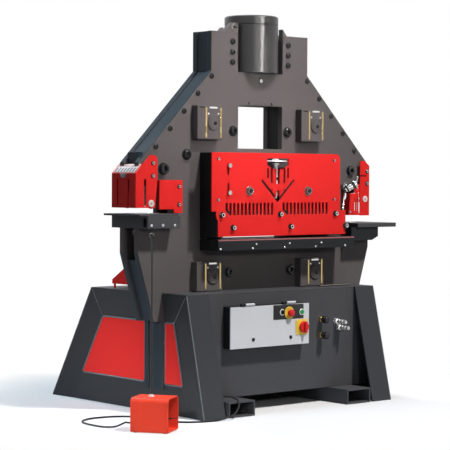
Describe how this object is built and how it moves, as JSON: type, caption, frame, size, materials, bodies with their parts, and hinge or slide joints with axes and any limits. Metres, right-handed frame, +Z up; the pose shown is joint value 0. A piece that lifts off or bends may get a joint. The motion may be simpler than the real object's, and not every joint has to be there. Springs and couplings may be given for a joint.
{
  "type": "ironworker machine",
  "caption": "Hydraulic ironworker with an A-shaped twin-plate upright on a welded base: notcher at left, angle and flat-bar shear in front, punch at right, foot switch.",
  "frame": {"origin": "centre of the base's footprint, and of its four floor anchor holes, on the floor", "axes": "+Z up, +X to the operator's right along the front, +Y from the front to the back"},
  "size_m": [2.1335, 1.5369, 2.062],
  "materials": {
    "grey_plate": "satin",
    "base_grey": "satin",
    "dark_steel": "satin",
    "safety_red": "satin",
    "bright_steel": "satin",
    "chrome": "polished",
    "brass": "satin",
    "black_oxide": "satin",
    "box_grey": "satin",
    "black_plastic": "matte",
    "red_plastic": "gloss",
    "green_plastic": "gloss",
    "pedal_red": "satin",
    "rubber": "matte"
  },
  "bodies": {
    "frame": {"base_left_end": "base_grey", "base_right_end": "base_grey", "base_front_sheet": "base_grey", "base_rear_sheet": "base_grey", "base_top": "base_grey", "fork_tubes": "base_grey", "end_panels": "safety_red", "power_unit": "dark_steel", "rear_chute": "safety_red", "front_plate": "grey_plate", "rear_plate": "grey_plate", "edge_spacers": "dark_steel", "frame_bolts": "black_oxide", "guide_blocks": "grey_plate", "brass_gibs": "brass", "cylinder_barrel": "dark_steel", "cylinder_cap": "dark_steel", "shear_housing": "dark_steel", "shear_guard": "safety_red", "gib_bolts": "black_oxide", "shear_bed": "dark_steel", "lower_blade": "bright_steel", "left_die_block": "dark_steel", "left_table": "grey_plate", "notch_die": "bright_steel", "left_guard": "safety_red", "left_shield": "safety_red", "right_die_block": "dark_steel", "right_table": "grey_plate", "punch_die": "bright_steel", "right_guard": "safety_red", "stripper": "safety_red", "stripper_rod": "bright_steel", "latch_body": "chrome", "control_box": "dark_steel", "front_fittings": "bright_steel", "foot_switch": "pedal_red", "carry_rod": "black_oxide", "foot_cord": "rubber"},
    "ram": {"piston_rod": "chrome", "ram_plate": "dark_steel", "blade_carrier": "dark_steel", "upper_blade": "bright_steel", "angle_blade": "bright_steel", "notch_punch": "bright_steel", "punch_nut": "black_oxide", "punch": "bright_steel"},
    "hold_down": {"hold_down_foot": "black_oxide"},
    "handwheel": {"hold_down_wheel": "bright_steel"},
    "upper_stop": {"upper_stop_knob": "black_plastic"},
    "lower_stop": {"lower_stop_knob": "black_plastic"},
    "door": {"control_door": "box_grey"},
    "stop": {"stop_button": "red_plastic"},
    "start": {"start_button": "green_plastic"},
    "selector": {"selector_knob": "black_plastic"},
    "isolator": {"isolator_knob": "red_plastic"},
    "left_catch": {"left_door_latch": "bright_steel"},
    "right_catch": {"right_door_latch": "bright_steel"},
    "lever": {"latch_lever": "bright_steel"},
    "treadle": {"foot_treadle": "black_plastic"}
  },
  "joints": [
    {"name": "ram_stroke", "type": "slide", "parent": "frame", "child": "ram", "axis": [0, 0, -1], "range_m": [0, 0.075]},
    {"name": "hold_down_feed", "type": "slide", "parent": "frame", "child": "hold_down", "axis": [0, 0, -1], "range_m": [0, 0.016]},
    {"name": "wheel_turn", "type": "hinge", "parent": "hold_down", "child": "handwheel", "pos_m": [0, -0.442, 1.289], "axis": [0, 0, -1], "range_deg": [0, 1440]},
    {"name": "upper_stop_set", "type": "slide", "parent": "frame", "child": "upper_stop", "axis": [0, 0, 1], "range_m": [-0.045, 0]},
    {"name": "lower_stop_set", "type": "slide", "parent": "frame", "child": "lower_stop", "axis": [0, 0, 1], "range_m": [0, 0.045]},
    {"name": "door_hinge", "type": "hinge", "parent": "frame", "child": "door", "pos_m": [-0.1375, -0.56278, 0.555], "axis": [-1, 0, 0], "range_deg": [0, 100]},
    {"name": "stop_press", "type": "slide", "parent": "door", "child": "stop", "axis": [0, 1, 0], "range_m": [0, 0.006], "stiffness_N_per_m": 1500},
    {"name": "start_press", "type": "slide", "parent": "door", "child": "start", "axis": [0, 1, 0], "range_m": [0, 0.004], "stiffness_N_per_m": 800},
    {"name": "selector_turn", "type": "hinge", "parent": "door", "child": "selector", "pos_m": [-0.056, -0.56228, 0.505], "axis": [0, 1, 0], "range_deg": [-45, 45]},
    {"name": "isolator_turn", "type": "hinge", "parent": "door", "child": "isolator", "pos_m": [0.093, -0.56228, 0.421], "axis": [0, 1, 0], "range_deg": [0, 90]},
    {"name": "left_catch_turn", "type": "hinge", "parent": "door", "child": "left_catch", "pos_m": [-0.255, -0.56228, 0.374], "axis": [0, 1, 0], "range_deg": [0, 90]},
    {"name": "right_catch_turn", "type": "hinge", "parent": "door", "child": "right_catch", "pos_m": [0.005, -0.56228, 0.372], "axis": [0, 1, 0], "range_deg": [0, 90]},
    {"name": "lever_swing", "type": "hinge", "parent": "frame", "child": "lever", "pos_m": [0.56, -0.3995, 1.158], "axis": [0, 1, 0], "range_deg": [-15, 40]},
    {"name": "treadle_press", "type": "hinge", "parent": "frame", "child": "treadle", "pos_m": [-1.07476, -0.7064, 0.034], "axis": [0.829, 0.5592, 0], "range_deg": [0, 15], "stiffness_Nm_per_rad": 12, "springref_deg": -8.59}
  ],
  "couplings": [
    {"joint": "hold_down_feed", "follows": "wheel_turn", "m_per_rad": 0.00063662}
  ]
}
